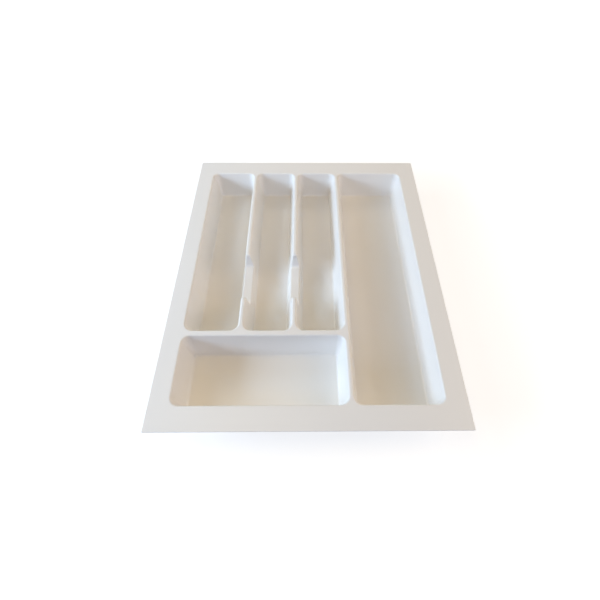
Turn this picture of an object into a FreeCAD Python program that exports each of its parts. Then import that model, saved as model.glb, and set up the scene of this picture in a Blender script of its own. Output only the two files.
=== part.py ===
"""Thermoformed plastic cutlery tray for a kitchen drawer.

One sheet is drawn into five drafted wells, parted by hollow ridges, inside a flat flange that is
trimmed to the drawer. The model divides the sheet into its zones, which meet face to face: the rim
flange, the four ridges and the five wells. X runs across the drawer, Y to its back, Z up, and the
origin is under the middle of the flange, at the level that the wells stand on.
"""
import FreeCAD, Part
import math
import os
import Sketcher

Vector = FreeCAD.Vector
NEAR = 1e-4
# A round takes at most this share of the room that its neighbours leave it
ROUND_SHARE = 0.9

doc = FreeCAD.newDocument("cutlery_tray")

# Driving dimensions in millimetres and degrees
DIMENSIONS = (
    ("tray_width", 390),
    ("tray_length", 490),
    ("sheet_gauge", 2),
    ("well_depth", 46),
    ("wall_draft", 9),
    ("floor_corner", 4.2),
    ("floor_round", 3.5),
    ("rim_roll", 1.5),
    ("rim_drop", 4),
    ("flange_left", 26),
    ("flange_right", 28),
    ("flange_front", 31),
    ("flange_back", 31),
    ("ridge_core", 2.5),
    ("cross_ridge_core", 4),
    ("knife_well_width", 73),
    ("fork_well_width", 66),
    ("spoon_well_width", 66),
    ("front_well_length", 95),
    ("notch_setback", 55),
    ("notch_length", 76),
    ("notch_depth", 22),
    ("notch_draft", 10),
    ("notch_shoulder", 2),
    ("notch_foot", 4),
)
sheet = doc.addObject("Spreadsheet::Sheet", "dims")
for row, (alias, size) in enumerate(DIMENSIONS, start=1):
    sheet.set(f"A{row}", alias)
    sheet.set(f"B{row}", str(size))
    sheet.setAlias(f"B{row}", alias)
doc.recompute()

# Levels, thicknesses and rounds, and the edges of the wells in the deck's top face, worked out from
# the sheet. The seam is the level where a well's wall meets the rolled rim above it. A ridge is as wide
# as the hollow core inside it and the two walls that it parts.
LAYOUT = (
    ("deck_top", "dims.sheet_gauge + dims.well_depth"),
    ("seam_level", "layout.deck_top - dims.rim_drop"),
    ("wall_slope", "tan(dims.wall_draft)"),
    ("wall_gauge", "dims.sheet_gauge / cos(dims.wall_draft)"),
    ("seam_inset", "dims.rim_drop * layout.wall_slope"),
    ("collar_outset", "layout.wall_gauge - layout.seam_inset"),
    ("ridge_width", "dims.ridge_core + 2 * layout.wall_gauge"),
    ("cross_ridge_width", "dims.cross_ridge_core + 2 * layout.wall_gauge"),
    ("well_corner", "dims.floor_corner + dims.well_depth * layout.wall_slope"),
    ("rim_bevel", f"min(dims.rim_roll; {ROUND_SHARE} * min(layout.ridge_width / 2; dims.rim_drop))"),
    ("floor_fillet", f"min(dims.floor_round; {ROUND_SHARE} * dims.floor_corner)"),
    ("half_bend", "45 + dims.wall_draft / 2"),
    ("heel_cut", "(layout.floor_fillet + dims.sheet_gauge) * (1 / sin(layout.half_bend) - 1)"),
    ("heel_bevel", "layout.heel_cut / cos(layout.half_bend)"),
    ("half_width", "dims.tray_width / 2"),
    ("half_length", "dims.tray_length / 2"),
    ("knife_left", "dims.flange_left - layout.half_width"),
    ("knife_right", "layout.knife_left + dims.knife_well_width"),
    ("fork_left", "layout.knife_right + layout.ridge_width"),
    ("fork_right", "layout.fork_left + dims.fork_well_width"),
    ("spoon_left", "layout.fork_right + layout.ridge_width"),
    ("spoon_right", "layout.spoon_left + dims.spoon_well_width"),
    ("utensil_left", "layout.spoon_right + layout.ridge_width"),
    ("utensil_right", "layout.half_width - dims.flange_right"),
    ("near_edge", "dims.flange_front - layout.half_length"),
    ("cross_front", "layout.near_edge + dims.front_well_length"),
    ("cross_back", "layout.cross_front + layout.cross_ridge_width"),
    ("far_edge", "layout.half_length - dims.flange_back"),
    ("ridge_start", "layout.cross_back + layout.well_corner"),
    ("ridge_end", "layout.far_edge - layout.well_corner"),
    ("notch_front", "layout.cross_back + dims.notch_setback"),
    ("notch_back", "layout.notch_front + dims.notch_length"),
    ("notch_floor", "layout.deck_top - dims.notch_depth"),
    ("notch_run", "dims.notch_depth * tan(dims.notch_draft)"),
    ("notch_gauge", "dims.sheet_gauge * (1 / cos(dims.notch_draft) - tan(dims.notch_draft))"),
)
layout = doc.addObject("App::VarSet", "layout")
for name, formula in LAYOUT:
    layout.addProperty("App::PropertyFloat", name)
    layout.setExpression(name, formula)
    doc.recompute()

# Left, right, front and back edge of each well's mouth
WELLS = {
    "knife_well": ("layout.knife_left", "layout.knife_right", "layout.cross_back", "layout.far_edge"),
    "fork_well": ("layout.fork_left", "layout.fork_right", "layout.cross_back", "layout.far_edge"),
    "spoon_well": ("layout.spoon_left", "layout.spoon_right", "layout.cross_back", "layout.far_edge"),
    "utensil_well": ("layout.utensil_left", "layout.utensil_right", "layout.near_edge", "layout.far_edge"),
    "front_well": ("layout.knife_left", "layout.spoon_right", "layout.near_edge", "layout.cross_front"),
}


def value(formula):
    """The number that a formula of sheet and layout values gives now."""
    return float(layout.evalExpression(formula))


def add_body(name):
    """An empty body with its label."""
    body = doc.addObject("PartDesign::Body", name)
    body.Label = name
    return body


def add_sketch(body, name, role, level):
    """A sketch on one of the body's own planes, moved along that plane's normal to a level."""
    plane = [feature for feature in body.Origin.OriginFeatures if feature.Role == role][0]
    sketch = body.newObject("Sketcher::SketchObject", name)
    sketch.AttachmentSupport = [(plane, "")]
    sketch.MapMode = "FlatFace"
    sketch.setExpression("AttachmentOffset.Base.z", level)
    return sketch


def bind(sketch, kind, places, formula):
    """A dimension of a sketch, tied to a formula."""
    index = sketch.addConstraint(Sketcher.Constraint(kind, *places, value(formula)))
    sketch.setExpression(f"Constraints[{index}]", formula)


def draw_polygon(sketch, corners):
    """A closed outline of straight lines through corners given as pairs of formulas."""
    points = [Vector(value(across), value(along), 0) for across, along in corners]
    ends = points[1:] + points[:1]
    lines = [sketch.addGeometry(Part.LineSegment(start, end)) for start, end in zip(points, ends)]
    for line, following in zip(lines, lines[1:] + lines[:1]):
        sketch.addConstraint(Sketcher.Constraint("Coincident", line, 2, following, 1))
    for line, (across, along) in zip(lines, corners):
        bind(sketch, "DistanceX", (-1, 1, line, 1), across)
        bind(sketch, "DistanceY", (-1, 1, line, 1), along)


def draw_well(sketch, edges, outset):
    """A well's outline with round corners, a distance outside the edges of its mouth."""
    left, front = (f"{edge} - ({outset})" for edge in (edges[0], edges[2]))
    right, back = (f"{edge} + ({outset})" for edge in (edges[1], edges[3]))
    corner = f"layout.well_corner + ({outset})"
    radius = value(corner)
    low = Vector(value(left) + radius, value(front) + radius, 0)
    high = Vector(value(right) - radius, value(back) - radius, 0)
    centres = (Vector(high.x, low.y, 0), high, Vector(low.x, high.y, 0), low)
    chain = []
    for turn, centre in enumerate(centres):
        start_angle = (turn - 1) * math.pi / 2
        reach = Vector(math.cos(start_angle), math.sin(start_angle), 0) * radius
        side = Part.LineSegment(centres[turn - 1] + reach, centre + reach)
        circle = Part.Circle(centre, Vector(0, 0, 1), radius)
        arc = Part.ArcOfCircle(circle, start_angle, start_angle + math.pi / 2)
        chain += [sketch.addGeometry(side), sketch.addGeometry(arc)]
    for piece, following in zip(chain, chain[1:] + chain[:1]):
        sketch.addConstraint(Sketcher.Constraint("Tangent", piece, 2, following, 1))
    for arc in chain[3::2]:
        sketch.addConstraint(Sketcher.Constraint("Equal", chain[1], arc))
    front_side, right_side, back_side, left_side = chain[0::2]
    for side in (front_side, back_side):
        sketch.addConstraint(Sketcher.Constraint("Horizontal", side))
    for side in (left_side, right_side):
        sketch.addConstraint(Sketcher.Constraint("Vertical", side))
    bind(sketch, "Radius", (chain[1],), corner)
    bind(sketch, "DistanceX", (-1, 1, left_side, 1), left)
    bind(sketch, "DistanceX", (-1, 1, right_side, 1), right)
    bind(sketch, "DistanceY", (-1, 1, front_side, 1), front)
    bind(sketch, "DistanceY", (-1, 1, back_side, 1), back)


def add_feature(body, kind, sketch, length, taper=None, reverse=False):
    """A pad or pocket of a sketch by a length, with its sides drafted where a taper is given."""
    before = body.Tip.Shape.Volume if body.Tip else 0
    feature = body.newObject(f"PartDesign::{kind}", f"{sketch.Name}_{kind.lower()}")
    feature.Profile = sketch
    feature.Reversed = reverse
    feature.setExpression("Length", length)
    if taper:
        feature.setExpression("TaperAngle", taper)
    doc.recompute()
    change = feature.Shape.Volume - before
    if (change > 0) != (kind == "Pad"):
        raise ValueError(f"{feature.Name} changes the volume by {change:.1f}")
    return feature


def soften(body, kind, name, size, chosen):
    """A Fillet or Chamfer of one size on those edges of the body that a test of their boxes picks out."""
    base = body.Tip
    numbered = enumerate(base.Shape.Edges, start=1)
    edges = [f"Edge{index}" for index, edge in numbered if chosen(edge.BoundBox)]
    feature = body.newObject(f"PartDesign::{kind}", name)
    feature.Base = (base, edges)
    feature.setExpression({"Fillet": "Radius", "Chamfer": "Size"}[kind], size)
    doc.recompute()


def level_test(level):
    """A test for edges that lie in the horizontal plane at a level."""
    return lambda box: abs(box.ZMin - level) < NEAR and abs(box.ZMax - level) < NEAR


# The deck is the flat sheet round and between the wells. It turns down into each of them over a bevelled
# rim and a short drafted collar
deck = add_body("deck")
plate = add_sketch(deck, "plate", "XY_Plane", "layout.deck_top")
draw_polygon(plate, (
    ("-layout.half_width", "-layout.half_length"),
    ("layout.half_width", "-layout.half_length"),
    ("layout.half_width", "layout.half_length"),
    ("-layout.half_width", "layout.half_length"),
))
add_feature(deck, "Pad", plate, "dims.sheet_gauge", reverse=True)

collars = add_sketch(deck, "collars", "XY_Plane", "layout.seam_level")
mouths = add_sketch(deck, "mouths", "XY_Plane", "layout.deck_top")
for edges in WELLS.values():
    draw_well(collars, edges, "layout.collar_outset")
    draw_well(mouths, edges, "0")
add_feature(deck, "Pad", collars, "dims.rim_drop - dims.sheet_gauge / 2", taper="dims.wall_draft")
add_feature(deck, "Pocket", mouths, "dims.rim_drop + dims.sheet_gauge", taper="-dims.wall_draft")

on_top = level_test(layout.deck_top)
inside_x = layout.half_width - NEAR
inside_y = layout.half_length - NEAR
soften(deck, "Chamfer", "rims", "layout.rim_bevel", lambda box: on_top(box) and box.XMin > -inside_x
       and box.XMax < inside_x and box.YMin > -inside_y and box.YMax < inside_y)


# Boxes part the ridges from the flange where the ridges run straight, clear of the wells' corner arcs
def flared(lower_edge, upper_edge):
    """The two lines that lie a corner's radius outside the edges of a ridge."""
    return f"{lower_edge} - layout.well_corner", f"{upper_edge} + layout.well_corner"


def add_zone(name, across, along):
    """A box from under the collars to over the deck, between a pair of lines across and a pair along."""
    (left, right), (front, back) = across, along
    zone = doc.addObject("Part::Box", name)
    zone.setExpression("Placement.Base.x", left)
    zone.setExpression("Placement.Base.y", front)
    zone.setExpression("Placement.Base.z", "layout.seam_level - dims.sheet_gauge")
    zone.setExpression("Length", f"{right} - ({left})")
    zone.setExpression("Width", f"{back} - ({front})")
    zone.setExpression("Height", "dims.rim_drop + 2 * dims.sheet_gauge")
    return zone


BEHIND_CROSS = ("layout.ridge_start", "layout.ridge_end")
WHOLE_LENGTH = ("layout.near_edge + layout.well_corner", "layout.ridge_end")
OVER_FRONT_WELL = ("layout.knife_left + layout.well_corner", "layout.spoon_right - layout.well_corner")
left_zone = add_zone("left_zone", flared("layout.knife_right", "layout.fork_left"), BEHIND_CROSS)
middle_zone = add_zone("middle_zone", flared("layout.fork_right", "layout.spoon_left"), BEHIND_CROSS)
right_zone = add_zone("right_zone", flared("layout.spoon_right", "layout.utensil_left"), WHOLE_LENGTH)
cross_zone = add_zone("cross_zone", OVER_FRONT_WELL, flared("layout.cross_front", "layout.cross_back"))
ridge_zones = doc.addObject("Part::MultiFuse", "ridge_zones")
ridge_zones.Shapes = [left_zone, middle_zone, right_zone, cross_zone]


def add_boolean(kind, name, base, tool):
    """One shape cut by another, or what two shapes share."""
    result = doc.addObject(f"Part::{kind}", name)
    result.Base = base
    result.Tool = tool
    doc.recompute()
    return result


rim_flange = add_boolean("Cut", "rim_flange", deck, ridge_zones)
divider_right = add_boolean("Common", "divider_right", deck, right_zone)
cross_divider = add_boolean("Common", "cross_divider", deck, cross_zone)


# The left and middle dividers dip into a finger notch, so each is a ridge of its own, hollow underneath
def notch_corners(grow, drop):
    """The notch's corners from front to back, moved out by a distance lengthways and down by a drop."""
    top, foot = f"layout.deck_top - {drop}", f"layout.notch_floor - {drop}"
    front, back = f"layout.notch_front - {grow}", f"layout.notch_back + {grow}"
    return (
        (front, top),
        (f"{front} + layout.notch_run", foot),
        (f"{back} - layout.notch_run", foot),
        (back, top),
    )


SKIRT = notch_corners("dims.rim_drop", "dims.rim_drop")
OPEN_UNDERSIDE = (("layout.ridge_start", "0"), ("layout.ridge_end", "0"))
CLOSED_SKIRT = (
    ("layout.ridge_start", "layout.seam_level"),
    *SKIRT,
    ("layout.ridge_end", "layout.seam_level"),
)


def add_ridge(name, middle, grow, drop, side_gauge, underside):
    """A notched ridge between its drafted sides, set in from the sheet's outer face by the values given."""
    body = add_body(name)
    band = add_sketch(body, f"{name}_band", "YZ_Plane", middle)
    top = f"layout.deck_top - {drop}"
    crest = (("layout.ridge_start", top), *notch_corners(grow, drop), ("layout.ridge_end", top))
    draw_polygon(band, crest + tuple(reversed(underside)))
    foot_spread = "layout.deck_top * layout.wall_slope"
    pad = add_feature(body, "Pad", band, f"layout.ridge_width + 2 * {foot_spread}")
    pad.SideType = "Symmetric"

    flanks = add_sketch(body, f"{name}_flanks", "XZ_Plane", "-layout.ridge_start")
    edge = f"layout.ridge_width / 2 - {side_gauge}"
    for sign in ("-", "+"):
        clear = f"{middle} {sign} layout.deck_top"
        draw_polygon(flanks, (
            (f"{middle} {sign} ({edge})", "layout.deck_top"),
            (f"{middle} {sign} ({edge} + {foot_spread})", "0"),
            (clear, "0"),
            (clear, "layout.deck_top"),
        ))
    add_feature(body, "Pocket", flanks, "layout.ridge_end - layout.ridge_start")

    on_crest = level_test(value(top))
    ends = (layout.ridge_start, layout.ridge_end)
    soften(body, "Fillet", f"{name}_shoulders", f"dims.notch_shoulder + dims.sheet_gauge - {drop}",
           lambda box: on_crest(box) and box.YLength < NEAR
           and min(abs(box.YMin - end) for end in ends) > NEAR)
    on_floor = level_test(value(f"layout.notch_floor - {drop}"))
    soften(body, "Fillet", f"{name}_feet", f"dims.notch_foot + {drop}",
           lambda box: on_floor(box) and box.YLength < NEAR)
    return body


def add_notched_divider(name, left_edge, right_edge):
    """A notched divider between two wells: its outer ridge with bevelled rims, less the hollow inside."""
    middle = f"({left_edge} + {right_edge}) / 2"
    ridge = add_ridge(f"{name}_ridge", middle, "0", "0", "0", CLOSED_SKIRT)
    on_floor = level_test(layout.notch_floor)
    soften(ridge, "Chamfer", f"{name}_rims", "layout.rim_bevel",
           lambda box: on_floor(box) and box.XLength < NEAR)
    hollow = add_ridge(f"{name}_hollow", middle, "layout.notch_gauge", "dims.sheet_gauge",
                       "layout.wall_gauge", OPEN_UNDERSIDE)
    return add_boolean("Cut", name, ridge, hollow)


divider_left = add_notched_divider("divider_left", "layout.knife_right", "layout.fork_left")
divider_middle = add_notched_divider("divider_middle", "layout.fork_right", "layout.spoon_left")


# Each well is a drafted pan that hangs from the seam. Its walls turn into its floor over a round, and a
# bevel under that round leaves the heel one gauge thick
def add_well(name, edges, notched_sides):
    """A pan of one gauge, its walls cut down where a notched divider crosses them."""
    body = add_body(name)
    outside = add_sketch(body, f"{name}_outside", "XY_Plane", "layout.seam_level")
    draw_well(outside, edges, "layout.collar_outset")
    add_feature(body, "Pad", outside, "layout.seam_level", taper="-dims.wall_draft", reverse=True)
    soften(body, "Chamfer", f"{name}_heel", "layout.heel_bevel", level_test(0))

    inside = add_sketch(body, f"{name}_inside", "XY_Plane", "layout.seam_level")
    draw_well(inside, edges, "-layout.seam_inset")
    add_feature(body, "Pocket", inside, "layout.seam_level - dims.sheet_gauge", taper="-dims.wall_draft")
    soften(body, "Fillet", f"{name}_floor", "layout.floor_fillet", level_test(value("dims.sheet_gauge")))

    for side in notched_sides:
        notch = add_sketch(body, f"{name}_{side}_notch", "YZ_Plane", f"({edges[0]} + {edges[1]}) / 2")
        draw_polygon(notch, SKIRT)
        reach = f"({edges[1]} - {edges[0]}) / 2 + layout.ridge_width"
        add_feature(body, "Pocket", notch, reach, reverse=side == "right")
    return body


NOTCHED_SIDES = {"knife_well": ("right",), "fork_well": ("left", "right"), "spoon_well": ("left",)}
wells = [add_well(name, edges, NOTCHED_SIDES.get(name, ())) for name, edges in WELLS.items()]

# Every object is sound before any file is written
for item in doc.Objects:
    if "Invalid" in item.State or "Error" in item.State:
        raise RuntimeError(f"{item.Label} failed: {item.State}")
sub_parts = [rim_flange, cross_divider, divider_left, divider_middle, divider_right] + wells
for item in sub_parts:
    if item.Shape.isNull() or not item.Shape.isValid() or len(item.Shape.Solids) != 1:
        raise RuntimeError(f"{item.Label} is not one sound solid")

os.makedirs("parts", exist_ok=True)
for item in sub_parts:
    item.Shape.exportStep(f"parts/{item.Label}.step")
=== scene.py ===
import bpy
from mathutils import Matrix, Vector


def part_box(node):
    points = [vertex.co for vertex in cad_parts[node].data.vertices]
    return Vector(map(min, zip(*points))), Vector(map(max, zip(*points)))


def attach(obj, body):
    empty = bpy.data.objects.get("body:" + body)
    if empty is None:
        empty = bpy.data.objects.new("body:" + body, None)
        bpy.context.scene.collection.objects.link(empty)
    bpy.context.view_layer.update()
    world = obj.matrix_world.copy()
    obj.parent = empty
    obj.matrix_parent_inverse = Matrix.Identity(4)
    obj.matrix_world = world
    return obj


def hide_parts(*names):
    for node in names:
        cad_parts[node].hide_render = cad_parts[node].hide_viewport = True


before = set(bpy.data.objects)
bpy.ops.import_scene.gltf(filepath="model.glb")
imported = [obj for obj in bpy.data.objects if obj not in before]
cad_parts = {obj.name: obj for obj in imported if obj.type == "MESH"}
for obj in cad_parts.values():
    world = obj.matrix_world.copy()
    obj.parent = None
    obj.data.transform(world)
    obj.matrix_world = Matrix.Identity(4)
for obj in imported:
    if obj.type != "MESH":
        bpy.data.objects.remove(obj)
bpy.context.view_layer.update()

import math

import bmesh
import bpy
from mathutils import Vector

# The sheet: the tray is formed from one white plastic sheet, warmed and drawn down over a mould by vacuum.
# Its walls lean out so that it comes off the mould, every edge is a soft bend, and its skin is satin.
SHEET_GAUGE = 0.002
WALL_DRAFT = math.radians(9)
PLASTIC_WHITE = (0.87, 0.855, 0.83, 1)
PLASTIC_THIN = (0.85, 0.832, 0.805, 1)
PLASTIC_IOR = 1.5
SATIN_ROUGHNESS = (0.28, 0.38)
wall_slope = math.tan(WALL_DRAFT)
wall_gauge = SHEET_GAUGE / math.cos(WALL_DRAFT)

tray_plastic = bpy.data.materials.new("white_formed_plastic")
tray_plastic.use_nodes = True
nodes = tray_plastic.node_tree.nodes
links = tray_plastic.node_tree.links
skin = nodes["Principled BSDF"]
skin.inputs["IOR"].default_value = PLASTIC_IOR
place = nodes.new("ShaderNodeTexCoord")


def add_noise(scale, detail):
    """A noise fixed to the tray, with its scale in spots per metre."""
    noise = nodes.new("ShaderNodeTexNoise")
    noise.inputs["Scale"].default_value = scale
    noise.inputs["Detail"].default_value = detail
    links.new(place.outputs["Object"], noise.inputs["Vector"])
    return noise.outputs["Fac"]


def add_relief(noise, strength, height):
    """A bump that follows a noise, with its height in metres."""
    bump = nodes.new("ShaderNodeBump")
    bump.inputs["Strength"].default_value = strength
    bump.inputs["Distance"].default_value = height
    links.new(noise, bump.inputs["Height"])
    return bump


# Drawing thins the sheet unevenly, which shows as broad faint clouds in its white
white = nodes.new("ShaderNodeMix")
white.data_type = "RGBA"
white.inputs["A"].default_value = PLASTIC_THIN
white.inputs["B"].default_value = PLASTIC_WHITE
links.new(add_noise(scale=14, detail=3), white.inputs["Factor"])
links.new(white.outputs["Result"], skin.inputs["Base Color"])

# The satin is a little duller in patches, where the warm sheet met the mould first
gloss = nodes.new("ShaderNodeMapRange")
gloss.inputs["To Min"].default_value, gloss.inputs["To Max"].default_value = SATIN_ROUGHNESS
links.new(add_noise(scale=45, detail=4), gloss.inputs["Value"])
links.new(gloss.outputs["Result"], skin.inputs["Roughness"])

# Up close the skin has a fine grain, and over a hand's width it is not quite flat
grain = add_relief(add_noise(scale=1500, detail=2), strength=0.2, height=0.00003)
ripple = add_relief(add_noise(scale=16, detail=1), strength=0.3, height=0.0005)
links.new(grain.outputs["Normal"], ripple.inputs["Normal"])
links.new(ripple.outputs["Normal"], skin.inputs["Normal"])

# The deck: the flat flange, trimmed square to fit its drawer, and the two ridges that have no notch. They
# are one level of the sheet, formed together with the rolled rims of all five wells, and are parted here
# where the ridges run straight.
WELLS = ("knife_well", "fork_well", "spoon_well", "utensil_well", "front_well")
FLOOR_CORNER = 0.0042
RIM_ROLL = 0.0025
RIM_STRIP = 0.0027
TRIM_STRIP = 0.0006
TRIM_CORNER = 0.001
TRIM_EDGE = 0.00025
TRIM_STEPS = 2
CORNER_STEPS = 12
ROLL_STEPS = 7
CREASE_ANGLE = math.radians(40)
SEAM_TOLERANCE = 1e-7
flange_low, flange_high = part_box("rim_flange")
deck_top = flange_high.z
seam_level = flange_low.z
rim_drop = deck_top - seam_level
collar_drop = rim_drop + SHEET_GAUGE
collar_outset = wall_gauge - rim_drop * wall_slope
well_corner = FLOOR_CORNER + (deck_top - SHEET_GAUGE) * wall_slope
half_bend = (math.pi / 2 - WALL_DRAFT) / 2
rim_reach = RIM_ROLL * math.tan(half_bend)
sideways = Vector((1, 1, 0))


def mouth(well):
    """The corners of a well's opening at deck level, worked out from the box of its node."""
    low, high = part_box(well)
    return low + sideways * collar_outset, high - sideways * collar_outset


def add_outline(form, low, high, radius, level):
    """A flat face with round corners."""
    earlier = set(form.faces)
    spots = ((low.x, low.y), (high.x, low.y), (high.x, high.y), (low.x, high.y))
    corners = [form.verts.new((x, y, level)) for x, y in spots]
    form.faces.new(corners)
    bmesh.ops.bevel(form, geom=corners, offset=radius, offset_type="OFFSET", segments=CORNER_STEPS,
                    profile=0.5, affect="VERTICES", material=-1)
    return next(face for face in form.faces if face not in earlier)


def draw_down(form, face, inset, drop):
    """Draws a face inwards and down, with a wall left round it."""
    bmesh.ops.inset_individual(form, faces=[face], thickness=inset, depth=-drop, use_even_offset=True)


def round_off(form, edges, offset, steps):
    """Rounds edges over, from an offset on each side."""
    bmesh.ops.bevel(form, geom=edges, offset=offset, offset_type="OFFSET", segments=steps, profile=0.5,
                    affect="EDGES", material=-1)


def thicken(form):
    """Gives a formed skin the sheet's gauge, on the side away from its face."""
    bmesh.ops.solidify(form, geom=form.faces[:], thickness=SHEET_GAUGE)


def part_at_seam(form, keep_above, mouths):
    """Parts a form at the level where the rims meet the wells, and closes the cut edges of the walls."""
    bmesh.ops.bisect_plane(form, geom=form.verts[:] + form.edges[:] + form.faces[:], dist=SEAM_TOLERANCE,
                           plane_co=(0, 0, seam_level), plane_no=(0, 0, 1),
                           clear_inner=keep_above, clear_outer=not keep_above)
    for low, high in mouths:
        start, end = low - sideways * wall_gauge, high + sideways * wall_gauge
        ring = [edge for edge in form.edges if edge.is_boundary and all(
            start.x < vert.co.x < end.x and start.y < vert.co.y < end.y for vert in edge.verts)]
        bmesh.ops.bridge_loops(form, edges=ring)
    bmesh.ops.recalc_face_normals(form, faces=form.faces[:])


def make_piece(name, form):
    """A scene object with a formed mesh."""
    mesh = bpy.data.meshes.new(name)
    form.to_mesh(mesh)
    piece = bpy.data.objects.new(name, mesh)
    bpy.context.collection.objects.link(piece)
    return piece


def make_block(low, high):
    """A block between two corners, to cut other pieces with."""
    form = bmesh.new()
    bmesh.ops.create_cube(form, size=1)
    bmesh.ops.scale(form, vec=high - low, verts=form.verts)
    bmesh.ops.translate(form, vec=(low + high) / 2, verts=form.verts)
    return make_piece("block", form)


def cut(piece, tool, operation):
    """Cuts a piece by a tool, and throws the tool away."""
    boolean = piece.modifiers.new("cut", "BOOLEAN")
    boolean.operation = operation
    boolean.solver = "EXACT"
    boolean.object = tool
    shaped = piece.evaluated_get(bpy.context.evaluated_depsgraph_get())
    piece.data = bpy.data.meshes.new_from_object(shaped)
    piece.modifiers.clear()
    bpy.data.objects.remove(tool)


def dress(piece, node):
    """Gives a piece smooth bends, crisp cut edges and the sheet's plastic, in place of its node."""
    form = bmesh.new()
    form.from_mesh(piece.data)
    for face in form.faces:
        face.smooth = True
    for edge in form.edges:
        edge.smooth = edge.calc_face_angle(0) < CREASE_ANGLE
    form.to_mesh(piece.data)
    even_shade = piece.modifiers.new("even_shade", "WEIGHTED_NORMAL")
    even_shade.keep_sharp = True
    piece.data.materials.clear()
    piece.data.materials.append(tray_plastic)
    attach(piece, "root")
    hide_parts(node)


mouths = {well: mouth(well) for well in WELLS}
deck = bmesh.new()
margin = add_outline(deck, flange_low, flange_high, TRIM_CORNER, deck_top)
draw_down(deck, margin, TRIM_STRIP, 0)
bmesh.ops.delete(deck, geom=[margin], context="FACES_ONLY")
for low, high in mouths.values():
    rim = add_outline(deck, low - sideways * RIM_STRIP, high + sideways * RIM_STRIP,
                      well_corner + RIM_STRIP, deck_top)
    draw_down(deck, rim, RIM_STRIP, 0)
    draw_down(deck, rim, collar_drop * wall_slope, collar_drop)
    bmesh.ops.delete(deck, geom=[rim], context="FACES_ONLY")
rims = [edge for edge in deck.edges if edge.calc_face_angle(0) > CREASE_ANGLE]
round_off(deck, rims, rim_reach, ROLL_STEPS)

# The level sheet is filled in between the strips along the trimmed edge and round the rims
trimmed = flange_high - sideways * TRIM_STRIP / 2
open_edges = [edge for edge in deck.edges if edge.is_boundary and all(
    abs(vert.co.x) < trimmed.x and abs(vert.co.y) < trimmed.y and vert.co.z > deck_top - TRIM_EDGE
    for vert in edge.verts)]
bmesh.ops.triangle_fill(deck, edges=open_edges, use_beauty=True, normal=(0, 0, 1))
upside_down = [face for face in deck.faces if face.normal.z < 0]
bmesh.ops.reverse_faces(deck, faces=upside_down)
thicken(deck)
part_at_seam(deck, True, mouths.values())
trim_edges = [edge for edge in deck.edges if edge.calc_face_angle(0) > CREASE_ANGLE
              and edge.verts[0].co.z > seam_level + TRIM_EDGE]
round_off(deck, trim_edges, TRIM_EDGE, TRIM_STEPS)

# The middle of the deck is cut out of the flange, where the ridges leave their flared ends
ridge_start = mouths["knife_well"][0].y + well_corner
ridge_end = mouths["knife_well"][1].y - well_corner
stub_end = mouths["spoon_well"][1].x - well_corner
clear_above = 2 * deck_top
ridges_low = Vector((mouths["front_well"][0].x + well_corner, mouths["front_well"][0].y + well_corner, 0))
ridges_high = Vector((mouths["utensil_well"][0].x + well_corner, ridge_end, clear_above))
rim_flange = make_piece("formed_rim_flange", deck)
cut(rim_flange, make_block(ridges_low, ridges_high), "DIFFERENCE")
dress(rim_flange, "rim_flange")

divider_right = make_piece("formed_divider_right", deck)
cut(divider_right, make_block(Vector((stub_end, ridges_low.y, 0)), ridges_high), "INTERSECT")
dress(divider_right, "divider_right")

cross_divider = make_piece("formed_cross_divider", deck)
cut(cross_divider, make_block(ridges_low, Vector((stub_end, ridge_start, clear_above))), "INTERSECT")
dress(cross_divider, "cross_divider")

# The left and middle dividers: hollow ridges between the narrow wells. Each dips into a finger notch with
# drafted ends, so that fingers reach the cutlery. Their flanks are part of the same drawn sheet as the walls
# of the wells.
NOTCH_SETBACK = 0.055
NOTCH_LENGTH = 0.077
NOTCH_DEPTH = 0.026
NOTCH_DRAFT = math.radians(4)
NOTCH_BEND = 0.004
BEND_STEPS = 8
FLANK_LEAN = 0.5
CREST_RISE = 0.05
notch_front = mouths["knife_well"][0].y + NOTCH_SETBACK
notch_back = notch_front + NOTCH_LENGTH
notch_foot = deck_top - NOTCH_DEPTH
notch_run = NOTCH_DEPTH * math.tan(NOTCH_DRAFT)
notch_gauge = SHEET_GAUGE * (1 / math.cos(NOTCH_DRAFT) - math.tan(NOTCH_DRAFT))
bend_reach = math.tan((math.pi / 2 - NOTCH_DRAFT) / 2)


def notch_corners(grow, drop):
    """The notch's corners from front to back, as (y, z), moved out lengthways and down."""
    top, foot = deck_top - drop, notch_foot - drop
    front, back = notch_front - grow, notch_back + grow
    return [(front, top), (front + notch_run, foot), (back - notch_run, foot), (back, top)]


def make_ridge(middle, half_top, crest, underside, bends):
    """A notched ridge with drafted flanks, drawn as a side view of its crest and underside."""
    form = bmesh.new()
    outline = [form.verts.new((middle, y, z)) for y, z in crest + underside]
    form.faces.new(outline)
    for vert, bend in zip(outline[1:len(crest) - 1], bends):
        bmesh.ops.bevel(form, geom=[vert], offset=bend * bend_reach, offset_type="OFFSET",
                        segments=BEND_STEPS, profile=0.5, affect="VERTICES", material=-1)
    left_side = set(form.verts)
    bmesh.ops.extrude_face_region(form, geom=form.faces[:])
    for vert in form.verts:
        side = -1 if vert in left_side else 1
        vert.co.x += side * (half_top + (deck_top - vert.co.z) * wall_slope)
    bmesh.ops.recalc_face_normals(form, faces=form.faces[:])
    return form


def is_flank(face):
    """A face on the side of a ridge."""
    return abs(face.normal.x) > FLANK_LEAN


def is_crest(face):
    """A face on top of a ridge, or on a notch's ramp."""
    return face.normal.z > CREST_RISE and not is_flank(face)


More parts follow.
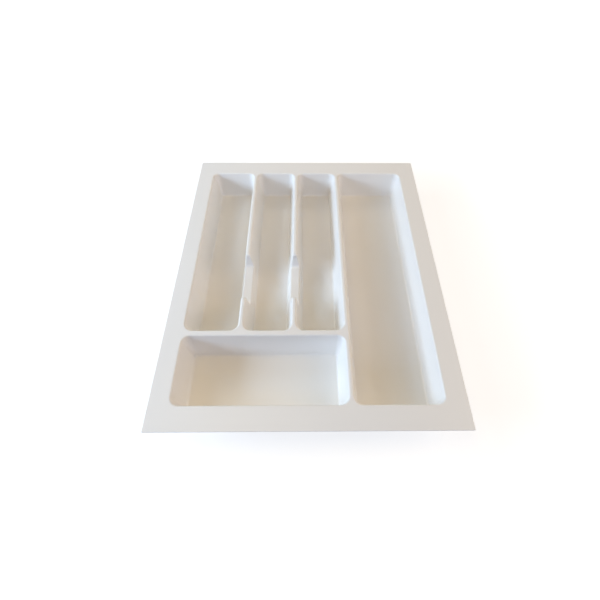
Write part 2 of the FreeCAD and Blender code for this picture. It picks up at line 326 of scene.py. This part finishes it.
def form_notched_divider(node, left_well, right_well):
    """A notched divider: its ridge with rolled rims, less the hollow under the sheet."""
    left_edge, right_edge = mouths[left_well][1].x, mouths[right_well][0].x
    middle = (left_edge + right_edge) / 2
    half_top = (right_edge - left_edge) / 2
    skirt = [(ridge_start, seam_level), *notch_corners(rim_drop, rim_drop), (ridge_end, seam_level)]
    crest = [(ridge_start, deck_top), *notch_corners(0, 0), (ridge_end, deck_top)]
    ridge = make_ridge(middle, half_top, crest, skirt[::-1], [NOTCH_BEND] * 4)
    rims = [edge for edge in ridge.edges
            if any(map(is_crest, edge.link_faces)) and any(map(is_flank, edge.link_faces))]
    round_off(ridge, rims, rim_reach, ROLL_STEPS)
    piece = make_piece(f"formed_{node}", ridge)
    start, end = ridge_start - SHEET_GAUGE, ridge_end + SHEET_GAUGE
    under = [(start, deck_top - SHEET_GAUGE), *notch_corners(notch_gauge, SHEET_GAUGE),
             (end, deck_top - SHEET_GAUGE)]
    shoulder, foot = NOTCH_BEND - SHEET_GAUGE, NOTCH_BEND + SHEET_GAUGE
    hollow = make_ridge(middle, half_top - wall_gauge, under, [(end, 0), (start, 0)],
                        [shoulder, foot, foot, shoulder])
    cut(piece, make_piece("hollow", hollow), "DIFFERENCE")
    dress(piece, node)


form_notched_divider("divider_left", "knife_well", "fork_well")
form_notched_divider("divider_middle", "fork_well", "spoon_well")

# The wells: five pans for cutlery, drawn deep with drafted walls, round corners and a floor that the walls
# meet in a soft bend. The walls beside a notched divider are cut down where its notch crosses them.
FLOOR_ROUND = 0.0035
FLOOR_STEPS = 7
NOTCHED_SIDES = {"knife_well": (1,), "fork_well": (-1, 1), "spoon_well": (-1,)}


def make_notch(middle, reach):
    """A block in the shape of the notch under its rims, from the middle of a well out through one wall."""
    skirt = notch_corners(rim_drop, rim_drop)
    above = [(skirt[-1][0], deck_top), (skirt[0][0], deck_top)]
    form = bmesh.new()
    form.faces.new([form.verts.new((middle, y, z)) for y, z in skirt + above])
    moved = bmesh.ops.extrude_face_region(form, geom=form.faces[:])["geom"]
    bmesh.ops.translate(form, vec=(reach, 0, 0),
                        verts=[part for part in moved if isinstance(part, bmesh.types.BMVert)])
    bmesh.ops.recalc_face_normals(form, faces=form.faces[:])
    return make_piece("notch", form)


def form_well(node):
    """A pan of the sheet's gauge under its mouth, from the seam down."""
    low, high = mouths[node]
    start = seam_level + SHEET_GAUGE
    inset = (deck_top - start) * wall_slope
    form = bmesh.new()
    floor = add_outline(form, low + sideways * inset, high - sideways * inset, well_corner - inset, start)
    draw_down(form, floor, (start - SHEET_GAUGE) * wall_slope, start - SHEET_GAUGE)
    round_off(form, floor.edges[:], FLOOR_ROUND * math.tan(half_bend), FLOOR_STEPS)
    thicken(form)
    part_at_seam(form, False, [mouths[node]])
    piece = make_piece(f"formed_{node}", form)
    for side in NOTCHED_SIDES.get(node, ()):
        cut(piece, make_notch((low.x + high.x) / 2, side * (high.x - low.x)), "DIFFERENCE")
    dress(piece, node)


for well in WELLS:
    form_well(well)

# The studio floor: a pale matt table that the tray stands on, set a hair lower. It is white to the eye, all
# but the tray's soft shadow, because it glows a little less near the tray, where the lamps make up the rest.
FLOOR_HALF = 6
FLOOR_GAP = 0.0003
FLOOR_COLOUR = (0.5, 0.5, 0.5, 1)
GLOW_NEAR, GLOW_FAR = 0.70, 1.0
SHADOW_REACH = (0.35, 0.9)


def show_to_eye(tree, lighting, shown, output):
    """Lights the scene with one shader, and shows another to the eye, also mirrored or through glass."""
    path = tree.nodes.new("ShaderNodeLightPath")
    seen = path.outputs["Is Camera Ray"]
    for ray in ("Is Glossy Ray", "Is Transmission Ray"):
        either = tree.nodes.new("ShaderNodeMath")
        either.operation = "MAXIMUM"
        tree.links.new(seen, either.inputs[0])
        tree.links.new(path.outputs[ray], either.inputs[1])
        seen = either.outputs["Value"]
    surface = tree.nodes.new("ShaderNodeMixShader")
    tree.links.new(seen, surface.inputs["Fac"])
    tree.links.new(lighting, surface.inputs[1])
    tree.links.new(shown, surface.inputs[2])
    tree.links.new(surface.outputs["Shader"], tree.nodes[output].inputs["Surface"])


ground = bmesh.new()
bmesh.ops.create_grid(ground, x_segments=1, y_segments=1, size=FLOOR_HALF)
bmesh.ops.translate(ground, vec=(0, 0, -FLOOR_GAP), verts=ground.verts)
studio_floor = make_piece("studio_floor", ground)
table = bpy.data.materials.new("pale_table")
table.use_nodes = True
nodes = table.node_tree.nodes
links = table.node_tree.links
nodes.remove(nodes["Principled BSDF"])
matt = nodes.new("ShaderNodeBsdfDiffuse")
matt.inputs["Color"].default_value = FLOOR_COLOUR
place = nodes.new("ShaderNodeTexCoord")
away = nodes.new("ShaderNodeVectorMath")
away.operation = "LENGTH"
links.new(place.outputs["Object"], away.inputs[0])
fade = nodes.new("ShaderNodeMapRange")
fade.inputs["From Min"].default_value, fade.inputs["From Max"].default_value = SHADOW_REACH
fade.inputs["To Min"].default_value, fade.inputs["To Max"].default_value = GLOW_NEAR, GLOW_FAR
links.new(away.outputs["Value"], fade.inputs["Value"])
glow = nodes.new("ShaderNodeEmission")
links.new(fade.outputs["Result"], glow.inputs["Strength"])
bright = nodes.new("ShaderNodeAddShader")
links.new(matt.outputs["BSDF"], bright.inputs[0])
links.new(glow.outputs["Emission"], bright.inputs[1])
show_to_eye(table.node_tree, matt.outputs["BSDF"], bright.outputs["Shader"], "Material Output")
studio_floor.data.materials.append(table)

# The light: a wide cool window at the left, soft boxes round and above the tray and the dim warm room beyond.
# The window shines through the finger notches on two of the floors, and over the ridges on the right walls.
WARM = (1.0, 0.86, 0.76)
AMBER = (1.0, 0.72, 0.28)
CREAM = (1.0, 0.86, 0.68)
COOL = (0.61, 0.7, 1.0)
SKY = (0.57, 0.76, 1.0)
DAYLIGHT = (0.72, 0.87, 1.0)
BACKDROP_WHITE = (1, 1, 1, 1)
ROOM_STRENGTH = 0.12
room = bpy.data.worlds.new("studio_room")
room.use_nodes = True
nodes = room.node_tree.nodes
ambient = nodes["Background"]
ambient.inputs["Color"].default_value = (*WARM, 1)
ambient.inputs["Strength"].default_value = ROOM_STRENGTH
backdrop = nodes.new("ShaderNodeBackground")
backdrop.inputs["Color"].default_value = BACKDROP_WHITE
show_to_eye(room.node_tree, ambient.outputs["Background"], backdrop.outputs["Background"], "World Output")
bpy.context.scene.world = room


def add_lamp(name, place, size, watts, colour):
    """A soft rectangular lamp that faces the tray."""
    lamp = bpy.data.lights.new(name, "AREA")
    lamp.shape = "RECTANGLE"
    lamp.size, lamp.size_y = size
    lamp.energy = watts
    lamp.color = colour
    stand = bpy.data.objects.new(name, lamp)
    stand.location = place
    stand.rotation_euler = (-Vector(place)).to_track_quat("-Z", "Y").to_euler()
    bpy.context.collection.objects.link(stand)


add_lamp("window", place=(-1.36, -0.29, 0.56), size=(0.9, 0.4), watts=20, colour=SKY)
add_lamp("left_box", place=(-0.99, 0.57, 0.80), size=(0.6, 0.4), watts=4.5, colour=DAYLIGHT)
add_lamp("front_box", place=(0, -1.36, 0.63), size=(0.6, 0.4), watts=3.1, colour=COOL)
add_lamp("right_box", place=(1.27, 0, 0.58), size=(0.9, 1.1), watts=8.4, colour=WARM)
add_lamp("high_right_box", place=(0.86, 0, 1.10), size=(0.7, 0.4), watts=1.3, colour=AMBER)
add_lamp("top_box", place=(-0.34, 0, 1.26), size=(0.6, 0.6), watts=2.3, colour=AMBER)
add_lamp("back_box", place=(0, 1.15, 0.96), size=(0.8, 0.5), watts=1.3, colour=CREAM)

# The camera: held above the front edge with a wide lens, looking steeply down, as the photograph was taken.
# Its place, turn, lens and shift were solved from the corners of the flange and of the wells.
CAMERA_PLACE = (-0.00568, -0.36117, 0.50475)
CAMERA_TURN = (33.642, -0.527, -0.494)
CAMERA_LENS = 22.915
CAMERA_SENSOR = 36
CAMERA_SHIFT = (-0.015, -0.005)
CAMERA_NEAR = 0.01
camera = bpy.data.cameras.new("camera")
camera.lens = CAMERA_LENS
camera.sensor_width = CAMERA_SENSOR
camera.shift_x, camera.shift_y = CAMERA_SHIFT
camera.clip_start = CAMERA_NEAR
viewpoint = bpy.data.objects.new("camera", camera)
viewpoint.location = CAMERA_PLACE
viewpoint.rotation_euler = [math.radians(angle) for angle in CAMERA_TURN]
bpy.context.collection.objects.link(viewpoint)
bpy.context.scene.camera = viewpoint
bpy.context.scene.view_settings.view_transform = "Standard"
